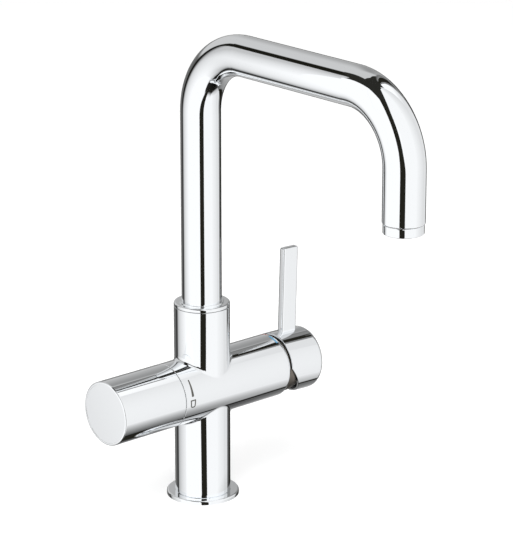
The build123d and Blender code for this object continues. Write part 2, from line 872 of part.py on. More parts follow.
with BuildPart() as fixed_disc:
    add(disc(mixer_side, cavity_r - run, disc_start, disc_start + disc_t))
    bore(mixer_side, passage_r, disc_start, disc_start + disc_t, *inlet_places, outlet_place)
save(fixed_disc.part, "cartridge_fixed_disc")

mover_plane = Plane(
    origin=(0, 0, barrel_z + carrier_shift), x_dir=(0, 1, 0), z_dir=(1, 0, 0)
)
pocket_z = ball_rise - carrier_shift
with BuildPart() as moving_disc:
    add(disc(mover_plane, mover_d / 2, mover_start, carrier_start))
    with BuildSketch(mover_plane.offset(mover_start)):
        SlotOverall(mixing_slot_l, mixing_slot_w)
    extrude(amount=mover_t / 2, mode=Mode.SUBTRACT)
save(moving_disc.part, "cartridge_moving_disc")
with BuildPart() as carrier:
    with BuildSketch(mover_plane.offset(carrier_start)):
        Circle(mover_d / 2)
        Rectangle(carrier_flat, mover_d, mode=Mode.INTERSECT)
        with Locations((0, pocket_z)):
            Rectangle(ball_d + 2 * ball_play, ball_d + 2 * ball_play, mode=Mode.SUBTRACT)
    extrude(amount=carrier_t)
save(carrier.part, "disc_carrier")

neck_r = neck_d / 2
neck_bore_r = neck_bore_d / 2
lip_start = neck_end - neck_lip
shell = turned(
    mixer_side,
    (
        (cavity_r, disc_start),
        (cartridge_r, disc_start),
        (cartridge_r, shoulder_x),
        (neck_r, shoulder_x),
        (neck_r, neck_end),
        (neck_bore_r - neck_lip_w, neck_end),
        (neck_bore_r - neck_lip_w, lip_start),
        (neck_bore_r, lip_start),
        (neck_bore_r, shell_cavity_end),
        (cavity_r, shell_cavity_end),
    ),
)
save(shell, "cartridge_shell")

rotor_r = neck_bore_r - run
stem_half = stem_across / 2
with BuildPart() as rotor:
    add(disc(mixer_side, rotor_r, rotor_start, lip_start - run))
    add(disc(mixer_side, rotor_r - neck_lip_w, lip_start - run, neck_end))
    with BuildSketch(mixer_side.offset(rotor_start - leg_length)):
        Circle(cavity_r - 2 * run)
        Rectangle(leg_flat, cartridge_d, mode=Mode.SUBTRACT)
    extrude(amount=leg_length)
    with BuildSketch(mixer_side.offset(rotor_start)):
        Rectangle(stem_across + 2 * run, stem_slot)
    extrude(amount=neck_end - rotor_start, mode=Mode.SUBTRACT)
    pin_line = Plane(origin=(pivot_x, 0, barrel_z), x_dir=(1, 0, 0), z_dir=(0, 1, 0))
    with BuildSketch(pin_line):
        Circle(pin_d / 2 + slip)
    extrude(amount=rotor_r, both=True, mode=Mode.SUBTRACT)
save(rotor.part, "cartridge_rotor")
pin_half = (rotor_r**2 - (pin_d / 2) ** 2) ** 0.5 - 2 * run
save(disc(pin_line, pin_d / 2, -pin_half, pin_half), "pivot_pin")

with BuildPart() as stem:
    with BuildSketch(handle_side.offset(-stem_inner)):
        Rectangle(stem_across, stem_across)
    extrude(amount=stem_inner + stem_outer)
    with BuildSketch(handle_side.offset(-arm_length)):
        Circle(arm_d / 2)
    extrude(amount=arm_length - stem_inner)
    with BuildSketch(spin_plane(handle_side)):
        with BuildLine():
            CenterArc((0, -arm_length), ball_d / 2, -90, 180)
            Line((0, -arm_length - ball_d / 2), (0, -arm_length + ball_d / 2))
        make_face()
    revolve(axis=Axis(handle_side.origin, handle_side.z_dir))
    with BuildSketch(pin_line):
        Circle(pin_d / 2 + run)
    extrude(amount=stem_across, both=True, mode=Mode.SUBTRACT)
save(stem.part, "cartridge_stem")

ring_nut_r = ring_nut_d / 2
with BuildPart() as ring_nut:
    add(ring(mixer_side, ring_nut_r, neck_r + run, shoulder_x, mixer_end))
    with BuildSketch(mixer_side.offset(mixer_end)):
        with PolarLocations((ring_nut_r + neck_r) / 2, ring_nut_notches):
            Rectangle(ring_nut_d - neck_d, ring_nut_notch)
    extrude(amount=-ring_nut_notch_depth, mode=Mode.SUBTRACT)
save(ring_nut.part, "cartridge_ring_nut")

# Dome over the cartridge: a ball zone centred on the lever's pivot
dome_r = cap_inner_r - dome_gap
dome_inner_r = dome_r - dome_wall
dome_depth = pivot_out + dome_beyond
with BuildPart() as dome:
    with BuildSketch(spin_plane(mixer_side)):
        with Locations((0, pivot_x)):
            Circle(dome_r)
            Circle(dome_inner_r, mode=Mode.SUBTRACT)
        with Locations((dome_r, mixer_end + dome_depth / 2)):
            Rectangle(2 * dome_r, dome_depth, mode=Mode.INTERSECT)
    revolve(axis=Axis(mixer_side.origin, mixer_side.z_dir))
    add(ring(mixer_side, dome_inner_r, neck_r + run, mixer_end, mixer_end + dome_foot_t))
save(dome.part, "cartridge_dome")

# Lever handle: the blade and the cap are one casting, hollow over the dome
rim_at = -rim_back
cap_end = rim_at + cap_length
inner_end = cap_end - cap_end_t
with BuildPart() as blade:
    blade_foot = (barrel_r**2 - blade_t**2) ** 0.5 - cap_wall / 2
    with BuildSketch(handle_side.offset(blade_out - blade_w / 2)):
        with Locations((0, (blade_foot + blade_top) / 2)):
            Rectangle(blade_t, blade_top - blade_foot)
    extrude(amount=blade_w)
    low_face = blade.faces().sort_by(Axis(handle_side.origin, handle_side.y_dir))[0]
    fillet(blade.edges() - low_face.edges(), blade_edge_r)

with BuildPart() as handle:
    add(disc(handle_side, barrel_r, rim_at, cap_end))
    outer_rim = handle.edges().filter_by(GeomType.CIRCLE).sort_by(Axis.X)[-1]
    fillet(outer_rim, cap_edge_r)
    add(blade.part)
    with BuildSketch(handle_profile):
        with BuildLine():
            drop = 2 * barrel_r
            Polyline(
                (rim_at - drill_past, cut_height),
                (rim_at, cut_height),
                (rim_at + drop * tan(radians(cut_angle)), cut_height - drop),
                (rim_at - drill_past, cut_height - drop),
                close=True,
            )
        make_face()
    extrude(amount=barrel_d, both=True, mode=Mode.SUBTRACT)
    # The long outer edges, apart from the two at the closed end, are the open rim
    outer_rims = handle.edges().filter_by(
        lambda edge: edge.geom_type == GeomType.ELLIPSE
        or (edge.geom_type == GeomType.CIRCLE and edge.length > cap_length)
    )
    fillet(outer_rims.sort_by(Axis.X)[:-2], rim_edge_r)
    bore(handle_side, cap_inner_r, rim_at, inner_end)
    with BuildSketch(handle_side.offset(inner_end)):
        Circle(socket_boss_d / 2)
    extrude(amount=-socket_boss)
    with BuildSketch(handle_side.offset(inner_end - socket_boss)):
        Rectangle(stem_across + 2 * slip, stem_across + 2 * slip)
    extrude(amount=socket_boss, mode=Mode.SUBTRACT)
    grub_out = inner_end - socket_boss / 2
    down = Plane(
        origin=handle_side.origin + handle_side.z_dir * grub_out,
        x_dir=handle_side.x_dir,
        z_dir=-handle_side.y_dir,
    )
    bore(down, grub_d / 2 + slip, 0, barrel_r + drill_past)
save(handle.part, "lever_handle")

with BuildPart() as grub:
    grub_start = stem_half
    grub_end = grub_start + grub_length
    add(disc(down, grub_d / 2, grub_start, grub_end))
    hex_socket(down, grub_end, grub_hex, grub_hex_depth)
save(grub.part, "handle_grub_screw")
plug_end = (barrel_r**2 - (grub_d / 2) ** 2) ** 0.5
save(disc(down, grub_d / 2, plug_end - plug_t, plug_end), "handle_plug")
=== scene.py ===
# %% [markdown]
# # A water filter kitchen tap
# This tap is a polished, chrome plated brass casting with a square-arched swivel spout. A lever at one end
# of the cross barrel mixes hot and cold water. A knob at the other end opens the filtered water. The
# solids come packed from the CAD side, in metres, each one in its own place. This lesson gives them their
# finishes, adds the small marks on the barrel, and lights the whole as in a small photo studio.

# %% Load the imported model
import json
import math

import bpy
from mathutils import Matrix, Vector


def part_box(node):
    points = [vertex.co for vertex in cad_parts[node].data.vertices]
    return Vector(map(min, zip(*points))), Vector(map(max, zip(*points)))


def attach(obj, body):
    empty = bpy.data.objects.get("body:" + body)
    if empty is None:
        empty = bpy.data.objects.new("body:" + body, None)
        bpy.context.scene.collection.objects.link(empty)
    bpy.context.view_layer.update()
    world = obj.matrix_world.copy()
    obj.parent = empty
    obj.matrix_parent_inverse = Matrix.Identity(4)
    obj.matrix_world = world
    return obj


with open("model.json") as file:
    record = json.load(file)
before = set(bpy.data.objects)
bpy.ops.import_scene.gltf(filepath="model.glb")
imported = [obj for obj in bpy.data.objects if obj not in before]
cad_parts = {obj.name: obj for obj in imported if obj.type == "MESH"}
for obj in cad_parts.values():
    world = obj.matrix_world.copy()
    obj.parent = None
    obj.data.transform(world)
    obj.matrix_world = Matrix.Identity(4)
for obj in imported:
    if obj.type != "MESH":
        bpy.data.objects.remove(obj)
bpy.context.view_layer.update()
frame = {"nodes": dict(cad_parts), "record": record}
nodes = frame["nodes"]

# %% [markdown]
# ## Camera
# A product photograph of a tap is taken with a long lens from some distance, so that the spout and the
# column stay nearly parallel. The tap is seen from its front left, a little from above. The camera could be
# turned by angles, but here it is aimed at a point near the middle of the arch, which is easier to read.

# %% Camera
camera_at = Vector((-1.26847, -1.48397, 0.79905))
looks_at = Vector((-0.04568, -0.11094, 0.20688))
lens_mm = 187.57
sensor_mm = 36.0

camera_data = bpy.data.cameras.new("camera")
camera_data.lens = lens_mm
camera_data.sensor_width = sensor_mm
camera = bpy.data.objects.new("camera", camera_data)
camera.location = camera_at
camera.rotation_euler = (looks_at - camera_at).to_track_quat("-Z", "Y").to_euler()
bpy.context.scene.collection.objects.link(camera)
bpy.context.scene.camera = camera
bpy.context.scene.view_settings.view_transform = "Standard"
print("camera to tap:", round((looks_at - camera_at).length, 3), "m")

# %% [markdown]
# ## Helpers for colours and nodes
# Colours are written as sRGB hex values, as in any paint chart, and shaders want them linear, so one
# function turns them. Another adds a node with its settings, its values and its links in one call, and a
# third starts a material whose constant values are set on the shader's own sockets. A Mix node has sockets
# of the same names for numbers and for colours, so its colour sockets are found by their numbers.

# %% Helpers for colours and nodes
mm = 0.001
colour_a, colour_b, colour_out = 6, 7, 2


def linear(hex_text):
    """An sRGB hex colour as the linear colour that shaders use."""
    parts = [int(hex_text[i:i + 2], 16) / 255 for i in (1, 3, 5)]
    return [p / 12.92 if p < 0.04045 else ((p + 0.055) / 1.055) ** 2.4 for p in parts] + [1.0]


def add_node(tree, kind, inputs=None, **settings):
    """Add a node. An input is a value, another node's output, or a node whose first output is meant."""
    node = tree.nodes.new("ShaderNode" + kind)
    for name, value in settings.items():
        setattr(node, name, value)
    for name, value in (inputs or {}).items():
        if isinstance(value, bpy.types.Node):
            value = value.outputs[0]
        if isinstance(value, bpy.types.NodeSocket):
            tree.links.new(value, node.inputs[name])
        else:
            node.inputs[name].default_value = value
    return node


def new_material(name, **values):
    """A material with its shader's own sockets set, its node tree and that shader."""
    material = bpy.data.materials.new(name)
    material.use_nodes = True
    shader = material.node_tree.nodes["Principled BSDF"]
    for socket, value in values.items():
        shader.inputs[socket.replace("_", " ")].default_value = value
    return material, material.node_tree, shader


# %% [markdown]
# ## Studio
# Polished chrome shows its surroundings and little else, so the studio is half of the finish. A tap is
# photographed in a tent of large white panels, and the dark gaps between them draw the crisp lines along
# each tube. Lamps and cards could be placed one by one, but the panels are far away and big, so the
# world's shader paints them by direction. Each wall is a flat plane: the direction is turned until the wall
# is straight ahead, and then side / ahead and up / ahead are places on it. Edges stay straight this way.

# %% Panels and gaps
# Walls by the azimuth that they stand at, in degrees, 0 along +Y and 90 along +X. On each one its panels:
# their shade at the left and right side, the places of these sides and of the bottom and top in distances
# to the wall, how far the sides lean with the height, and how soft the edges are across and up.
walls = (
    (10, (
        {"name": "floor behind", "shade": (0.30, 0.55),
         "sides": (-0.30, 0.45), "ends": (-2.6, -0.62), "blur": (0.16, 0.16)},
        {"name": "rear wall, low", "shade": (0.10, 0.22),
         "sides": (-0.30, 0.60), "ends": (-0.62, 0.12), "blur": (0.10, 0.10)},
        {"name": "rear wall", "shade": (0.58, 0.56),
         "sides": (-0.30, 1.19), "lean": (-0.155, 0.0), "ends": (0.10, 1.85), "blur": (0.10, 0.10)},
        {"name": "rear wall, cut corner", "shade": (0.56, 0.56),
         "sides": (-0.30, 2.42), "lean": (-0.155, -0.664), "ends": (1.80, 3.2), "blur": (0.10, 0.10)},
        {"name": "rear wall, dim", "shade": (0.34, 0.24),
         "sides": (0.50, 1.19), "ends": (0.14, 1.5), "blur": (0.60, 0.60)},
    )),
    (75, (
        {"name": "floor at the right", "shade": (0.45, 0.12),
         "sides": (-0.75, 0.55), "ends": (-4.0, -0.50), "blur": (0.14, 0.14)},
        {"name": "right wall, low", "shade": (0.12, 0.14),
         "sides": (-0.19, 0.45), "ends": (-0.55, 0.10), "blur": (0.10, 0.10)},
        {"name": "right gap, low", "shade": (0.0, 0.0),
         "sides": (-0.32, -0.01), "lean": (-0.45, -0.42), "ends": (-1.5, 0.12), "blur": (0.08, 0.08)},
        {"name": "right wall", "shade": (0.22, 0.22),
         "sides": (-0.25, 0.45), "ends": (0.10, 3.0), "blur": (0.14, 0.14)},
    )),
    (130, (
        {"name": "right box", "shade": (0.70, 1.0),
         "sides": (-0.60, 0.80), "ends": (-2.4, 30.0), "blur": (0.14, 0.80)},
    )),
    (190, (
        {"name": "front box", "shade": (0.95, 0.95),
         "sides": (-0.70, 1.03), "ends": (-1.9, 30.0), "blur": (0.14, 1.20)},
    )),
    (-75, (
        {"name": "left box", "shade": (1.0, 1.0),
         "sides": (-2.2, 0.10), "ends": (-2.6, 1.26), "blur": (0.05, 0.05)},
        {"name": "left box, low", "shade": (1.0, 1.0),
         "sides": (0.08, 1.0), "ends": (-2.6, 0.10), "blur": (0.05, 0.05)},
        {"name": "left box, cut corner", "shade": (1.0, 1.0),
         "sides": (0.08, 1.6), "lean": (0.0, -1.19), "ends": (0.05, 1.26), "blur": (0.05, 0.05)},
    )),
    (-12, (
        {"name": "left gap", "shade": (0.0, 0.0),
         "sides": (-0.10, 0.095), "lean": (-0.24, -0.18), "ends": (-0.25, 0.95), "blur": (0.05, 0.08)},
        {"name": "left gap, low", "shade": (0.04, 0.04),
         "sides": (-0.07, 0.09), "ends": (-0.97, -0.20), "blur": (0.09, 0.10)},
    )),
)
print("panels:", sum(len(panels) for facing, panels in walls), "on", len(walls), "walls")

# %% Panels painted by direction
world = bpy.data.worlds.new("studio")
bpy.context.scene.world = world
world.use_nodes = True
studio = world.node_tree
studio.nodes.clear()
direction = add_node(studio, "TexCoord").outputs["Generated"]

dark_studio = 0.012
# A direction that runs this nearly along a wall's plane doesn't meet it.
skimming = 0.05
shade = dark_studio
for facing, panels in walls:
    turn = {"Vector": direction, "Angle": math.radians(facing)}
    turned = add_node(studio, "VectorRotate", turn, rotation_type="Z_AXIS")
    side, ahead, up = add_node(studio, "SeparateXYZ", {0: turned}).outputs
    near = add_node(studio, "Math", {0: ahead, 1: skimming}, operation="MAXIMUM")
    across = add_node(studio, "Math", {0: side, 1: near}, operation="DIVIDE").outputs[0]
    height = add_node(studio, "Math", {0: up, 1: near}, operation="DIVIDE").outputs[0]
    facing_it = add_node(studio, "Math", {0: ahead, 1: skimming}, operation="GREATER_THAN")
    for panel in panels:
        left, right = panel["sides"]
        lean_left, lean_right = panel.get("lean", (0.0, 0.0))
        bottom, top = panel["ends"]
        blur_across, blur_up = panel["blur"]
        # Each edge: what is measured, how it leans with the height, where it is, which way is in, its blur.
        edges = (
            (across, lean_left, left, 1, blur_across),
            (across, lean_right, right, -1, blur_across),
            (height, 0.0, bottom, 1, blur_up),
            (height, 0.0, top, -1, blur_up),
        )
        inside = facing_it
        for place, lean, start, inwards, blur in edges:
            edge = add_node(studio, "Math", {0: height, 1: lean, 2: start}, operation="MULTIPLY_ADD")
            beyond = add_node(studio, "Math", {0: place, 1: edge}, operation="SUBTRACT")
            reach = {"Value": beyond, "From Min": -inwards * blur / 2, "From Max": inwards * blur / 2}
            soft = add_node(studio, "MapRange", reach, interpolation_type="SMOOTHSTEP")
            inside = add_node(studio, "Math", {0: inside, 1: soft}, operation="MULTIPLY")
        first, last = panel["shade"]
        reach = {"Value": across, "From Min": left, "From Max": right, "To Min": first, "To Max": last}
        tone = add_node(studio, "MapRange", reach)
        shade = add_node(studio, "Mix", {"Factor": inside, "A": shade, "B": tone})
print("nodes that paint the panels:", len(studio.nodes))

# %% World
# Metal sees the panels. The camera sees plain white, and so does every dull surface, at a plain level. A
# second reflection is given back what the first one took, as in a bright tent.
panel_level, repeated_level, dull_level = 1.15, 1.53, 0.8
white = linear("#FFFFFF")
warm_black = linear("#1A1914")

tones = {0: shade, colour_a: warm_black, colour_b: white}
panels_colour = add_node(studio, "Mix", tones, data_type="RGBA").outputs[colour_out]
path = add_node(studio, "LightPath").outputs
bounces = {"Value": path["Glossy Depth"], "From Min": 1.0, "From Max": 3.0}
levels = {"To Min": panel_level, "To Max": repeated_level}
panels_strength = add_node(studio, "MapRange", {**bounces, **levels})
panels_light = add_node(studio, "Background", {"Color": panels_colour, "Strength": panels_strength})
seen = {"Value": path["Is Camera Ray"], "To Min": dull_level, "To Max": 1.0}
plain_strength = add_node(studio, "MapRange", seen)
plain_light = add_node(studio, "Background", {"Color": white, "Strength": plain_strength})
rays = {0: path["Is Glossy Ray"], 1: path["Is Transmission Ray"]}
mirrored = add_node(studio, "Math", rays, operation="MAXIMUM")
mixed = add_node(studio, "MixShader", {0: mirrored, 1: plain_light, 2: panels_light})
add_node(studio, "OutputWorld", {"Surface": mixed})
print("studio nodes:", len(studio.nodes))

# %% [markdown]
# ## Floor and lamp
# The tap stands on a plain pale worktop. Its plane lies where the CAD's origin is, at the underside of the
# base flange, and it keeps the tap's shadow. The chrome doesn't show it, because the white panels reach
# below the tap on all sides, as in a tent. In such a tent the shadow is faint: the camera sees half of the
# floor's white as plain light, and the other half as lit paint. One wide lamp at the upper left gives dull
# surfaces their light side.

# %% Floor
floor_size = 8.0
plain_share = 0.5
bpy.ops.object.select_all(action="DESELECT")
bpy.ops.mesh.primitive_plane_add(size=floor_size, location=(0, 0, 0))
floor = bpy.context.active_object
floor.name = "floor"
floor.visible_glossy = False

matt = {"Roughness": 1.0, "Specular_IOR_Level": 0.0}
worktop, tree, shader = new_material("worktop_white", Base_Color=white, **matt)
seen = add_node(tree, "LightPath").outputs["Is Camera Ray"]
share = add_node(tree, "MapRange", {"Value": seen, "To Min": 0.0, "To Max": plain_share})
glow = add_node(tree, "Emission", {"Color": white, "Strength": 1.0})
mixed = add_node(tree, "MixShader", {0: share, 1: shader, 2: glow})
tree.links.new(mixed.outputs[0], tree.nodes["Material Output"].inputs["Surface"])
floor.data.materials.append(worktop)
print("floor:", floor_size, "m square")

# %% Lamp
lamp_at = Vector((-0.9, -0.7, 1.6))
lamp_data = bpy.data.lights.new("soft_lamp", "AREA")
lamp_data.size = 1.6
lamp_data.energy = 48.0
lamp = bpy.data.objects.new("soft_lamp", lamp_data)
lamp.location = lamp_at
lamp.rotation_euler = (looks_at - lamp_at).to_track_quat("-Z", "Y").to_euler()
lamp.visible_glossy = False
bpy.context.scene.collection.objects.link(lamp)
print("lamp to tap:", round((looks_at - lamp_at).length, 2), "m")

# %% [markdown]
# ## Cards
# Some things stand so near the tap that each part of it sees them in another direction, which a picture at
# infinity can't do. Each is a sheet in the studio, made of rows of corners placed one above the other, and
# only mirrored light meets it, so it neither shades the tap nor shows behind it.

# %% Cards
def hang_card(name, rows, paint):
    """A card of rows of corners, from its foot up, which shows only in mirrored light."""
    posts = len(rows[0])
    bpy.ops.object.select_all(action="DESELECT")
    bpy.ops.mesh.primitive_grid_add(x_subdivisions=posts - 1, y_subdivisions=len(rows) - 1, size=1.0)
    card = bpy.context.active_object
    card.name = name
    for corner, place in zip(card.data.vertices, [place for row in rows for place in row]):
        corner.co = place
    for ray in ("camera", "diffuse", "transmission", "shadow"):
        setattr(card, "visible_" + ray, False)
    card.data.materials.append(paint)
    print(name, "corners:", posts * len(rows))


# %% [markdown]
# ## Black cards
# Photographers hang black cards just outside the picture to draw a dark line down a shiny thing. Here one
# at the front left draws the line down the column and the front pipe. It bends as it rises, so that the
# line stays in one place from the flange to the outlet. The other, at the right, is folded, and it stands
# behind the spout's front bend. A black card is never quite black: it gives back a little warm light.

# %% Black cards
black = linear("#000000")
black_light = {"Emission_Color": linear("#2A2923"), "Emission_Strength": 0.8}
black_paint = new_material("black_card", Base_Color=black, **black_light, **matt)[0]
front_flag = (
    ((-0.418, -0.420, -1.600), (-0.217, -0.522, -1.600)),
    ((-0.418, -0.420, -0.300), (-0.217, -0.522, -0.300)),
    ((-0.412, -0.388, 0.000), (-0.219, -0.497, 0.000)),
    ((-0.412, -0.382, 0.102), (-0.221, -0.492, 0.102)),
    ((-0.410, -0.386, 0.220), (-0.224, -0.491, 0.220)),
    ((-0.390, -0.374, 0.325), (-0.243, -0.452, 0.325)),
    ((-0.364, -0.206, 0.800), (-0.267, -0.318, 0.800)),
)
hang_card("front_flag", front_flag, black_paint)
right_posts = ((0.548, -0.027), (0.512, 0.054), (0.644, 0.124))
right_ends = (0.56, 2.4)
hang_card("right_flag", [[(x, y, z) for x, y in right_posts] for z in right_ends], black_paint)

# %% [markdown]
# ## White card at the right
# A white card beside the folded black one lights the spout's front pipe from the right. It could be an area
# lamp, but a card that glows has crisp edges in the chrome and gives dull surfaces no second shadow. It is
# brighter higher up, as a card is whose lamp hangs over it.

# %% White card at the right
white_paint, tree, shader = new_material("white_card", Base_Color=black, Emission_Color=white, **matt)
place = add_node(tree, "TexCoord").outputs["Object"]
level = add_node(tree, "SeparateXYZ", {0: place}).outputs["Z"]
glow = {"Value": level, "From Min": 0.65, "From Max": 0.90, "To Min": 0.86, "To Max": 1.15}
tree.links.new(add_node(tree, "MapRange", glow).outputs[0], shader.inputs["Emission Strength"])

card_x = 0.52
card_sides = (-0.080, -0.32)
card_ends = (-0.35, 2.4)
hang_card("right_card", [[(card_x, y, z) for y in card_sides] for z in card_ends], white_paint)

# %% [markdown]
# ## White wall at the left
# The tent's left wall comes within 220 mm of the column, so the spout, high up, sees another part of it
# than the column does. Its light falls off towards the rear, above the spout's height and near the floor.
# A plain card would leave the tubes flat and the same all the way up. This fall of light rounds them.

# %% Place of the left wall
wall_facing = math.radians(-75)
wall_away = 0.22
wall_ahead = Vector((math.sin(wall_facing), math.cos(wall_facing), 0))
wall_along = Vector((math.cos(wall_facing), -math.sin(wall_facing), 0))
# Each corner: how far along the wall it is, from the front to the rear, and its height.
wall_corners = (((0.02, -0.45), (0.37, -0.45)), ((0.02, 0.61), (0.37, 0.50)))
left_wall = []
for row in wall_corners:
    left_wall.append([wall_ahead * wall_away + wall_along * s + Vector((0, 0, z)) for s, z in row])
print("left wall to column:", wall_away, "m")

# %% Light of the left wall
wall_paint, tree, shader = new_material("tent_wall", Base_Color=black, Emission_Color=white, **matt)
place = add_node(tree, "TexCoord").outputs["Object"]
along = add_node(tree, "VectorMath", {0: place, 1: wall_along}, operation="DOT_PRODUCT").outputs["Value"]
level = add_node(tree, "SeparateXYZ", {0: place}).outputs["Z"]
# High up and low down the wall is as dim as it is further along.
high_up = {"Value": level, "From Min": 0.31, "From Max": 0.61, "To Min": 0.0, "To Max": 0.225}
low_down = {"Value": level, "From Min": 0.12, "From Max": -0.02, "To Min": 0.0, "To Max": 0.055}
above = add_node(tree, "MapRange", high_up)
below = add_node(tree, "MapRange", low_down)
further = add_node(tree, "Math", {0: above, 1: below})
away = add_node(tree, "Math", {0: along, 1: further}, operation="ADD")
fall = {"Value": away, "From Min": 0.02, "From Max": 0.25, "To Min": 1.15, "To Max": 0.62}
fallen = add_node(tree, "MapRange", fall)
fade = {"Value": along, "From Min": 0.34, "From Max": 0.20}
rear_end = add_node(tree, "MapRange", fade, interpolation_type="SMOOTHSTEP")
glow = add_node(tree, "Math", {0: fallen, 1: rear_end}, operation="MULTIPLY")
tree.links.new(glow.outputs[0], shader.inputs["Emission Strength"])
hang_card("left_wall", left_wall, wall_paint)

# %% [markdown]
# ## Shade under the tap
# The barrel and the knob have dark undersides, because a real worktop is in the tap's own shade there. The
# floor can't do it, because the chrome doesn't see it, so a soft dark patch does. It lies lower than the
# worktop, where the column's foot and the flange don't mirror it.

# %% Shade under the tap
shade_at = Vector((0.05, 0.0, -0.10))
shade_r = 0.30
shade_paint, tree, shader = new_material("worktop_in_shade", Base_Color=linear("#0A0A08"), **matt)
place = add_node(tree, "TexCoord").outputs["Object"]
away = add_node(tree, "VectorMath", {0: place, 1: shade_at}, operation="DISTANCE").outputs["Value"]
opening = {"Value": away, "From Min": 0.03, "From Max": 0.27, "To Min": 0.08, "To Max": 1.0}
openness = add_node(tree, "MapRange", opening)
clear_part = add_node(tree, "BsdfTransparent")
faded = add_node(tree, "MixShader", {0: openness, 1: shader, 2: clear_part})
tree.links.new(faded.outputs[0], tree.nodes["Material Output"].inputs["Surface"])
sides = (-shade_r, shade_r)
patch = [[shade_at + Vector((x, y, 0)) for x in sides] for y in sides]
hang_card("shaded_worktop", patch, shade_paint)

# %% [markdown]
# ## Hole in the worktop
# The shank goes down through a hole in the worktop, which hides it. The floor is only a plane that the
# chrome doesn't see, so the hole's wall is a black card, painted shade for the hole's dark inside. Without
# it the knob would mirror the bare brass below.

# %% Hole in the worktop
hole_play = 3 * mm
hole_top = -1 * mm
nut_low, nut_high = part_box("shank_nut")
hole_r = (nut_high[0] - nut_low[0]) / 2 + hole_play
print("hole:", round(hole_r / mm, 1), "mm in radius")

# The wall is flat between its corners, and its last corner lies on its first.
corner_degrees = 30
turns = [math.radians(degrees) for degrees in range(0, 360 + corner_degrees, corner_degrees)]
# The wall is a black card: painted shade for the dark inside of the hole.
hole = [[(hole_r * math.cos(t), hole_r * math.sin(t), z) for t in turns] for z in (nut_low[2], hole_top)]
hang_card("worktop_hole", hole, black_paint)

# %% [markdown]
# ## Chrome
# Bright chrome is a thin electroplated layer over nickel and polished brass. It is a mirror with a slight
# cool tint. What gives it away as real metal is a little unevenness in the polish, so the roughness
# wanders between two low values over patches of about a centimetre, with finer haze in them.

# %% Chrome
haze_size = 11.0 * mm
chrome, tree, shader = new_material("polished_chrome_plate", Base_Color=linear("#EEF0F2"), Metallic=1.0)
where = add_node(tree, "TexCoord").outputs["Object"]
haze = add_node(tree, "TexNoise", {"Vector": where, "Scale": 1 / haze_size, "Detail": 4.0})
rough = add_node(tree, "MapRange", {"Value": haze, "To Min": 0.02, "To Max": 0.05})
tree.links.new(rough.outputs[0], shader.inputs["Roughness"])
print(chrome.name, "nodes:", len(tree.nodes))

# %% [markdown]
# ## Dome in painted shade
# The dome under the lever's cap sits in the cap's shade and mirrors only dark surroundings there. Its dark
# colour is painted shade, a dark satin metal, so that it looks like a shadow between two bright parts. Its
# polish is coarse, with a grain like fine sand.

# %% Dome in painted shade
# The real grain is about 0.1 mm, which is too fine to show, so it is drawn five times as coarse.
grain_size = 0.5 * mm
# The dark grey base colour is painted shade for the dome inside the cap, where bright metal mirrors dark.
shade_painted_base = {"Base_Color": linear("#77716A"), "Metallic": 1.0}
dark_nickel, tree, shader = new_material("satin_metal_painted_shade", **shade_painted_base)
where = add_node(tree, "TexCoord").outputs["Object"]
grain = add_node(tree, "TexNoise", {"Vector": where, "Scale": 1 / grain_size, "Detail": 2.0})
rough = add_node(tree, "MapRange", {"Value": grain, "To Min": 0.28, "To Max": 0.42})
tree.links.new(rough.outputs[0], shader.inputs["Roughness"])
relief = add_node(tree, "Bump", {"Height": grain, "Strength": 0.15, "Distance": 0.10 * mm})
tree.links.new(relief.outputs[0], shader.inputs["Normal"])
print(dark_nickel.name, "nodes:", len(tree.nodes))

# %% [markdown]
# ## Turned brass
# The inner fittings are free-cutting brass, turned on a lathe and left bare. The tool leaves fine rings
# round the axis, which catch the light as bright lines across the piece, and the metal has dulled a little
# in patches. The rings could follow a UV map, but they are flat cuts across the axis, so plain bands along
# that axis do: one finish for upright pieces and one for those that lie along the barrel.

# %% Turned brass
# The real feed is about 0.15 mm a turn, which is too fine to show, so it is drawn three times as wide.
feed = 0.45 * mm
tarnish_size = 8.0 * mm
# Bands at scale 1 repeat after this length.
band_repeat = 2 * math.pi / 20


def turned_brass(name, axis):
    """Brass turned about an axis, whose tool rings are bands along it."""
    material, tree, shader = new_material(name, Metallic=1.0)
    where = add_node(tree, "TexCoord").outputs["Object"]
    bands = {"Vector": where, "Scale": band_repeat / feed, "Distortion": 0.3}
    rings = add_node(tree, "TexWave", bands, wave_type="BANDS", bands_direction=axis)
    tarnish = add_node(tree, "TexNoise", {"Vector": where, "Scale": 1 / tarnish_size, "Detail": 5.0})
    tones = {0: tarnish, colour_a: linear("#D8B56A"), colour_b: linear("#A8803F")}
    colour = add_node(tree, "Mix", tones, data_type="RGBA").outputs[colour_out]
    tree.links.new(colour, shader.inputs["Base Color"])
    rough = add_node(tree, "MapRange", {"Value": tarnish, "To Min": 0.20, "To Max": 0.38})
    tree.links.new(rough.outputs[0], shader.inputs["Roughness"])
    ridges = {"Height": rings.outputs["Fac"], "Strength": 0.25, "Distance": 0.05 * mm}
    relief = add_node(tree, "Bump", ridges)
    tree.links.new(relief.outputs[0], shader.inputs["Normal"])
    return material


upright_brass = turned_brass("turned_brass_upright", "Z")
crosswise_brass = turned_brass("turned_brass_crosswise", "X")
print("brass:", upright_brass.name, crosswise_brass.name)

# %% [markdown]
# ## Stainless steel
# Washers, pins and screws are stainless steel, blanked or turned and tumbled. Tumbling rounds the edges
# and leaves a soft grey gloss with short scratches in every direction. A noise stretched along one axis
# would look rolled, so the scratches here are thin cells of two noises that cross.

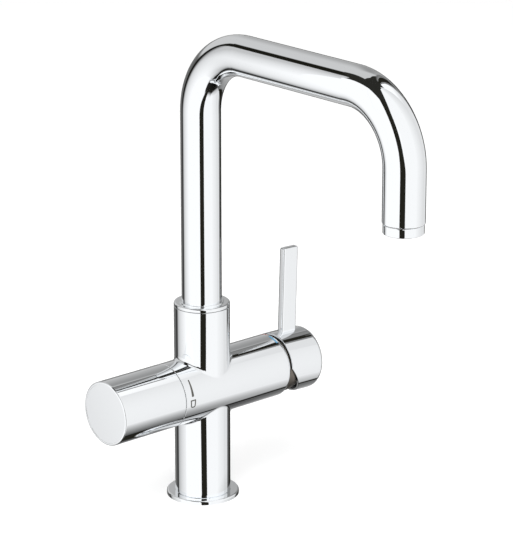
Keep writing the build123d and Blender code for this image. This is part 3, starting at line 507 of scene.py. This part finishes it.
# %% Stainless steel
scratch_size = 0.4 * mm
steel_base = {"Base_Color": linear("#C4C5C6"), "Metallic": 1.0}
stainless, tree, shader = new_material("tumbled_stainless_steel", **steel_base)
where = add_node(tree, "TexCoord").outputs["Object"]
scratches = []
for stretch in ((1.0, 0.15, 1.0), (0.15, 1.0, 0.4)):
    stretched = add_node(tree, "Mapping", {"Vector": where, "Scale": stretch})
    inputs = {"Vector": stretched, "Scale": 1 / scratch_size, "Detail": 1.0}
    scratches.append(add_node(tree, "TexNoise", inputs))
crossed = add_node(tree, "Math", {0: scratches[0], 1: scratches[1]}, operation="MAXIMUM")
wear = {"Value": crossed, "From Min": 0.4, "From Max": 0.8, "To Min": 0.2, "To Max": 0.4}
rough = add_node(tree, "MapRange", wear)
tree.links.new(rough.outputs[0], shader.inputs["Roughness"])
relief = add_node(tree, "Bump", {"Height": crossed, "Strength": 0.1, "Distance": 0.03 * mm})
tree.links.new(relief.outputs[0], shader.inputs["Normal"])
print(stainless.name, "nodes:", len(tree.nodes))

# %% [markdown]
# ## Black rubber
# Seals and washers are EPDM rubber, compression moulded in a spark-eroded mould. The eye sees a dark grey
# rather than black, with broad dull highlights broken up by a fine even grain, and a bloom of paler dust.

# %% Black rubber
# The mould's pits are about 0.05 mm, which is too fine to show, so they are drawn six times as wide.
pit_size = 0.3 * mm
bloom_size = 6.0 * mm
rubber, tree, shader = new_material("moulded_epdm_rubber", IOR=1.52)
where = add_node(tree, "TexCoord").outputs["Object"]
pits = add_node(tree, "TexVoronoi", {"Vector": where, "Scale": 1 / pit_size}, feature="F1")
bloom = add_node(tree, "TexNoise", {"Vector": where, "Scale": 1 / bloom_size, "Detail": 6.0})
tones = {0: bloom, colour_a: linear("#1B1B1C"), colour_b: linear("#353536")}
colour = add_node(tree, "Mix", tones, data_type="RGBA").outputs[colour_out]
tree.links.new(colour, shader.inputs["Base Color"])
rough = add_node(tree, "MapRange", {"Value": bloom, "To Min": 0.50, "To Max": 0.75})
tree.links.new(rough.outputs[0], shader.inputs["Roughness"])
dents = {"Height": pits.outputs["Distance"], "Strength": 0.3, "Distance": 0.05 * mm}
relief = add_node(tree, "Bump", dents)
tree.links.new(relief.outputs[0], shader.inputs["Normal"])
print(rubber.name, "nodes:", len(tree.nodes))

# %% [markdown]
# ## Plastics
# The cartridge, the guide rings and the filtered water's tube are white acetal, and the aerator's core and
# the small plug are grey ABS. Both are injection moulded. Acetal is waxy: its gloss is soft and light sinks
# a little way in. ABS is harder and a little glossier, from a finely eroded mould. One function makes both,
# because they differ only in their values.

# %% Plastics
flow_size = 14.0 * mm
# The mould's texture is about 0.05 mm, which is too fine to show, so it is drawn seven times as coarse.
texture_size = 0.35 * mm
gloss_down, gloss_up = 0.05, 0.07


def moulded_plastic(name, light, dark, gloss, **values):
    """An injection moulded plastic, with faint flow marks in its colour and a fine mould texture."""
    material, tree, shader = new_material(name, **values)
    where = add_node(tree, "TexCoord").outputs["Object"]
    swirls = {"Vector": where, "Scale": 1 / flow_size, "Detail": 3.0, "Distortion": 1.2}
    tones = {0: add_node(tree, "TexNoise", swirls), colour_a: linear(light), colour_b: linear(dark)}
    colour = add_node(tree, "Mix", tones, data_type="RGBA").outputs[colour_out]
    tree.links.new(colour, shader.inputs["Base Color"])
    texture = add_node(tree, "TexNoise", {"Vector": where, "Scale": 1 / texture_size, "Detail": 1.0})
    sheen = {"Value": texture, "To Min": gloss - gloss_down, "To Max": gloss + gloss_up}
    rough = add_node(tree, "MapRange", sheen)
    tree.links.new(rough.outputs[0], shader.inputs["Roughness"])
    relief = add_node(tree, "Bump", {"Height": texture, "Strength": 0.12, "Distance": 0.03 * mm})
    tree.links.new(relief.outputs[0], shader.inputs["Normal"])
    return material


waxy = {"IOR": 1.48, "Subsurface_Weight": 0.08, "Subsurface_Scale": 2 * mm}
acetal = moulded_plastic("moulded_white_acetal", "#F1F0EA", "#E6E4DC", 0.38, **waxy)
grey_abs = moulded_plastic("moulded_grey_abs", "#979B9E", "#888C90", 0.32, IOR=1.53)
print("plastics:", acetal.name, grey_abs.name)

# %% [markdown]
# ## Ceramic
# The discs that open and shut the water are alumina, fired and then lapped flat until two of them seal on
# each other. The eye sees a warm off-white with the faint grey specks of the fired grain under a gloss that
# is nearly a mirror.

# %% Ceramic
speck_size = 0.6 * mm
ceramic, tree, shader = new_material("lapped_alumina_ceramic", IOR=1.76)
where = add_node(tree, "TexCoord").outputs["Object"]
specks = add_node(tree, "TexNoise", {"Vector": where, "Scale": 1 / speck_size, "Detail": 2.0})
spread = add_node(tree, "MapRange", {"Value": specks, "From Min": 0.62, "From Max": 0.75})
tones = {0: spread, colour_a: linear("#F4F0E8"), colour_b: linear("#D9D5CC")}
colour = add_node(tree, "Mix", tones, data_type="RGBA").outputs[colour_out]
tree.links.new(colour, shader.inputs["Base Color"])
rough = add_node(tree, "MapRange", {"Value": specks, "To Min": 0.08, "To Max": 0.18})
tree.links.new(rough.outputs[0], shader.inputs["Roughness"])
print(ceramic.name, "nodes:", len(tree.nodes))

# %% [markdown]
# ## Finishes on the solids
# The record says which finish each solid has. A table by finish is shorter than a table by piece, and the
# record then stays the one place that decides. Only brass needs one more look: pieces out along the
# barrel, past the foot of the column, were turned crosswise.

# %% Finishes on the solids
finishes = {
    "polished_chrome": chrome, "dark_nickel": dark_nickel, "turned_brass": upright_brass,
    "stainless_steel": stainless, "black_rubber": rubber, "white_plastic": acetal,
    "grey_plastic": grey_abs, "ceramic": ceramic,
}
foot_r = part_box("base_flange")[1][0]
for part in frame["record"]["subparts"]:
    low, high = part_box(part["node"])
    finish = finishes[part["material_slot"]]
    if finish is upright_brass and abs(low[0] + high[0]) / 2 > foot_r:
        finish = crosswise_brass
    for slot in nodes[part["node"]].material_slots:
        slot.material = finish

# %% [markdown]
# ## Marks on the barrel
# Four small marks tell the user what the controls do: a wedge and a drinking glass by the knob, and a red
# and a blue stroke by the lever. On the real tap they are pad printed. A texture could hold them, but a
# thin layer of paint is cleaner from close by and has a real edge. Each starts as a flat plate just clear
# of the barrel. It is shaped there, cut into strips by planes through the barrel's axis so that it can
# bend, pulled onto the casting, and given the thickness of a coat of paint.

# %% Where the marks go
knob_low, knob_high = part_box("filter_knob")
barrel_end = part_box("body_casting")[1][0]
barrel_r = (knob_high[1] - knob_low[1]) / 2
barrel_z = (knob_high[2] + knob_low[2]) / 2
print("barrel:", round(barrel_r / mm, 2), "mm in radius, its axis at", round(barrel_z / mm, 2), "mm")

# %% Starting a mark
clear = 1.0 * mm


def start_mark(name, along, start, end, width):
    """A flat plate that covers the barrel between two angles above its front, left in edit mode."""
    middle, half = math.radians(start + end) / 2, math.radians(end - start) / 2
    away = barrel_r + clear
    bpy.ops.object.select_all(action="DESELECT")
    bpy.ops.mesh.primitive_grid_add(x_subdivisions=1, y_subdivisions=1, size=1.0)
    mark = bpy.context.active_object
    mark.name = name
    mark.scale = (width, 2 * away * math.tan(half), 1.0)
    bpy.ops.object.transform_apply(location=False, rotation=False, scale=True)
    mark.location = (along, -away * math.cos(middle), barrel_z + away * math.sin(middle))
    mark.rotation_euler = (math.pi / 2 - middle, 0, 0)
    bpy.ops.object.mode_set(mode="EDIT")
    return mark


def select_corners(mark, test):
    """Select the vertices that pass a test of their place, in edit mode."""
    bpy.ops.mesh.select_mode(type="VERT")
    bpy.ops.mesh.select_all(action="DESELECT")
    bpy.ops.object.mode_set(mode="OBJECT")
    for vertex in mark.data.vertices:
        vertex.select = test(vertex.co)
    bpy.ops.object.mode_set(mode="EDIT")


# %% Finishing a mark
coat = 0.10 * mm
# Degrees above the barrel's front, past both ends of every mark.
cuts = range(-12, 120, 2)
crease = math.radians(40)


def finish_mark(mark, paint):
    """Cut the plate into strips, pull it onto the barrel, and give it its coat."""
    bpy.ops.object.mode_set(mode="OBJECT")
    bpy.ops.object.transform_apply(location=True, rotation=True, scale=True)
    bpy.ops.object.mode_set(mode="EDIT")
    for degrees in cuts:
        turn = math.radians(degrees)
        bpy.ops.mesh.select_all(action="SELECT")
        bpy.ops.mesh.bisect(plane_co=(0, 0, barrel_z), plane_no=(0, math.sin(turn), math.cos(turn)))
    bpy.ops.object.mode_set(mode="OBJECT")
    wrap = mark.modifiers.new("onto the barrel", "SHRINKWRAP")
    wrap.target = nodes["body_casting"]
    wrap.wrap_method = "NEAREST_SURFACEPOINT"
    wrap.offset = coat / 4
    bpy.ops.object.modifier_apply(modifier=wrap.name)
    thick = mark.modifiers.new("coat", "SOLIDIFY")
    thick.thickness = coat
    thick.offset = 1.0
    bpy.ops.object.modifier_apply(modifier=thick.name)
    bpy.ops.object.shade_smooth_by_angle(angle=crease)
    mark.data.materials.append(paint)
    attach(mark, "fixed")
    print(mark.name, "faces:", len(mark.data.polygons))


# %% [markdown]
# ## Printing ink
# Pad printing lays down an epoxy ink: a thin matt coat that is a little uneven, so a trace of the metal's
# brightness shows in its thin spots.

# %% Printing ink
spot_size = 0.5 * mm


def printing_ink(name, full, thin):
    """A coat of ink, from its full colour to that of its thin spots."""
    material, tree, shader = new_material(name, Roughness=0.45, IOR=1.5)
    where = add_node(tree, "TexCoord").outputs["Object"]
    spots = add_node(tree, "TexNoise", {"Vector": where, "Scale": 1 / spot_size, "Detail": 3.0})
    tones = {0: spots, colour_a: linear(full), colour_b: linear(thin)}
    colour = add_node(tree, "Mix", tones, data_type="RGBA").outputs[colour_out]
    tree.links.new(colour, shader.inputs["Base Color"])
    return material


black_ink = printing_ink("pad_printed_black_ink", "#2E2D29", "#55544F")
red_ink = printing_ink("pad_printed_red_ink", "#B8452E", "#D9806A")
blue_ink = printing_ink("pad_printed_blue_ink", "#2F7096", "#6FA8C6")
print("inks:", black_ink.name, red_ink.name, blue_ink.name)

# %% [markdown]
# ## Wedge by the knob
# The wedge shows which way the filtered water grows. It is a plate whose upper end is made narrow, and
# whose lower corners are rounded with a bevel.

# %% Wedge by the knob
knob_marks_at = knob_high[0] + 6.6 * mm
wedge_width = 1.9 * mm
wedge_top = 0.45
wedge_corner = 0.5 * mm

wedge = start_mark("level_wedge", knob_marks_at, 10, 41, wedge_width)
select_corners(wedge, lambda place: place.y > 0)
bpy.ops.transform.resize(value=(wedge_top, 1, 1), orient_type="LOCAL")
select_corners(wedge, lambda place: place.y < 0)
bpy.ops.mesh.bevel(offset=wedge_corner, segments=3, affect="VERTICES")
finish_mark(wedge, black_ink)

# %% [markdown]
# ## Drinking glass by the knob
# Below the wedge, the outline of a drinking glass says that this water is for drinking. The plate gets a
# narrower, rounded foot, and an inset whose middle is deleted leaves the line.

# %% Drinking glass by the knob
glass_width = 4.8 * mm
glass_foot = 0.9
glass_corner = 1.7 * mm
line_width = 0.85 * mm

glass = start_mark("drinking_glass", knob_marks_at, -10.5, 4, glass_width)
select_corners(glass, lambda place: place.y < 0)
bpy.ops.transform.resize(value=(glass_foot, 1, 1), orient_type="LOCAL")
bpy.ops.mesh.bevel(offset=glass_corner, segments=5, affect="VERTICES")
bpy.ops.mesh.select_all(action="SELECT")
bpy.ops.mesh.inset(thickness=line_width)
bpy.ops.mesh.delete(type="FACE")
finish_mark(glass, black_ink)

# %% [markdown]
# ## Strokes by the lever
# A red and a blue stroke say which way the lever is turned for hot and for cold. Each is a plate whose four
# corners are rounded, near the barrel's end and over its top.

# %% Strokes by the lever
stroke_width = 1.4 * mm
stroke_corner = 0.6 * mm
# Each stroke: its name, its place along the barrel, the angles it starts and ends at, and its ink.
strokes = (
    ("hot_stroke", barrel_end - 2.75 * mm, 94, 110, red_ink),
    ("cold_stroke", barrel_end - 4.35 * mm, 61, 85, blue_ink),
)
for name, along, start, end, ink in strokes:
    stroke = start_mark(name, along, start, end, stroke_width)
    bpy.ops.mesh.select_all(action="SELECT")
    bpy.ops.mesh.bevel(offset=stroke_corner, segments=3, affect="VERTICES")
    finish_mark(stroke, ink)
